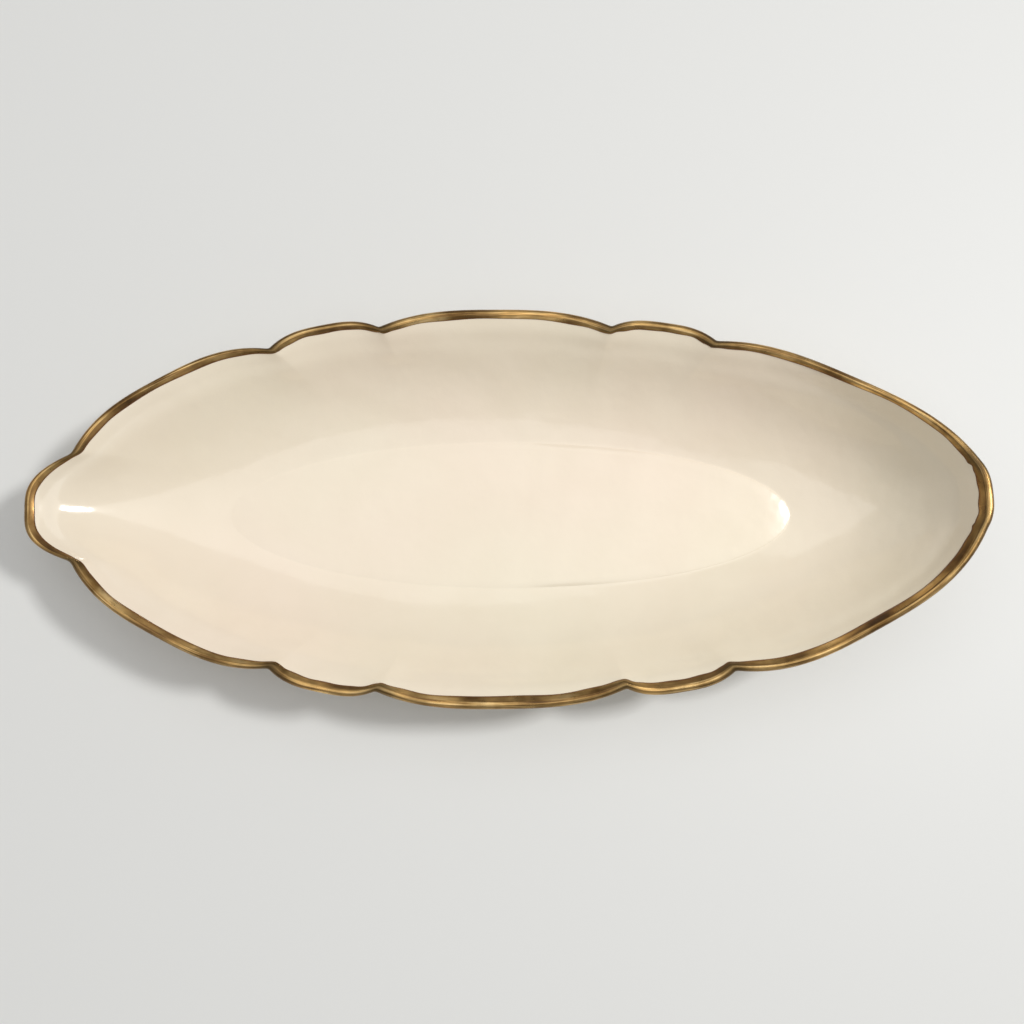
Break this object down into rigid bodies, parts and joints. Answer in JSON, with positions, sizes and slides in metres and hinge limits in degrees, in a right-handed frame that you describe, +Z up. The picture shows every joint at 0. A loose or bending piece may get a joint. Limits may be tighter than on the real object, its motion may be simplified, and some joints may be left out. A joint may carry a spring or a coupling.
{
  "type": "china serving platter",
  "caption": "Long, boat-shaped china serving dish with a scalloped gilt rim, a flat oval well, one low open end and one high upright end.",
  "frame": {"origin": "centre of the dish's bounding box, on the surface that it stands on", "axes": "+X along the length towards the high upright end, +Y across, +Z up out of the dish"},
  "size_m": [0.3168, 0.1341, 0.0502],
  "materials": {
    "fired_clay": "matte",
    "ivory_glaze": "gloss",
    "worn_gilt": "satin"
  },
  "bodies": {
    "root": {"china_body": "fired_clay", "foot_ring": "fired_clay", "glaze_inside": "ivory_glaze", "glaze_outside": "ivory_glaze", "glaze_base": "ivory_glaze", "gilt_rim": "worn_gilt"}
  },
  "joints": []
}
